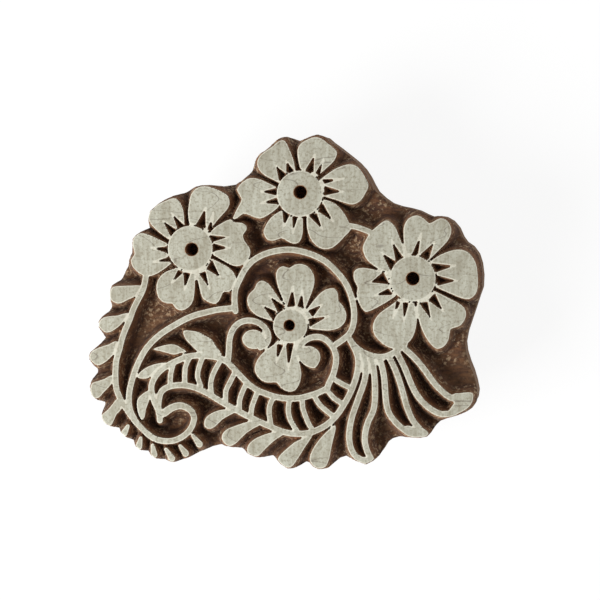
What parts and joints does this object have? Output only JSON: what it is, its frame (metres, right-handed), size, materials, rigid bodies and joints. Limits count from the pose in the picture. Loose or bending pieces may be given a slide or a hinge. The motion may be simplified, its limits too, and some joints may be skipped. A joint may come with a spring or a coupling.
{
  "type": "wooden printing block",
  "caption": "Hand-carved wooden block for stamping cloth or paper with a floral motif, with a wooden bar grip nailed to its back.",
  "frame": {"origin": "middle of the part's box, on the surface that the handle's flat end rests on", "axes": "+Z out of the printing face, +X along the block's longer side, +Y towards the top flower"},
  "size_m": [0.099, 0.0836, 0.042],
  "materials": {
    "carved_wood": "hand-carved brown wood, its printing face dull with pale dried pigment",
    "handle_wood": "bare hand-worn wood",
    "nail_steel": "dull plain steel"
  },
  "bodies": {
    "root": {"carved_block": "carved_wood", "handle": "handle_wood", "handle_nails": "nail_steel"}
  },
  "joints": []
}
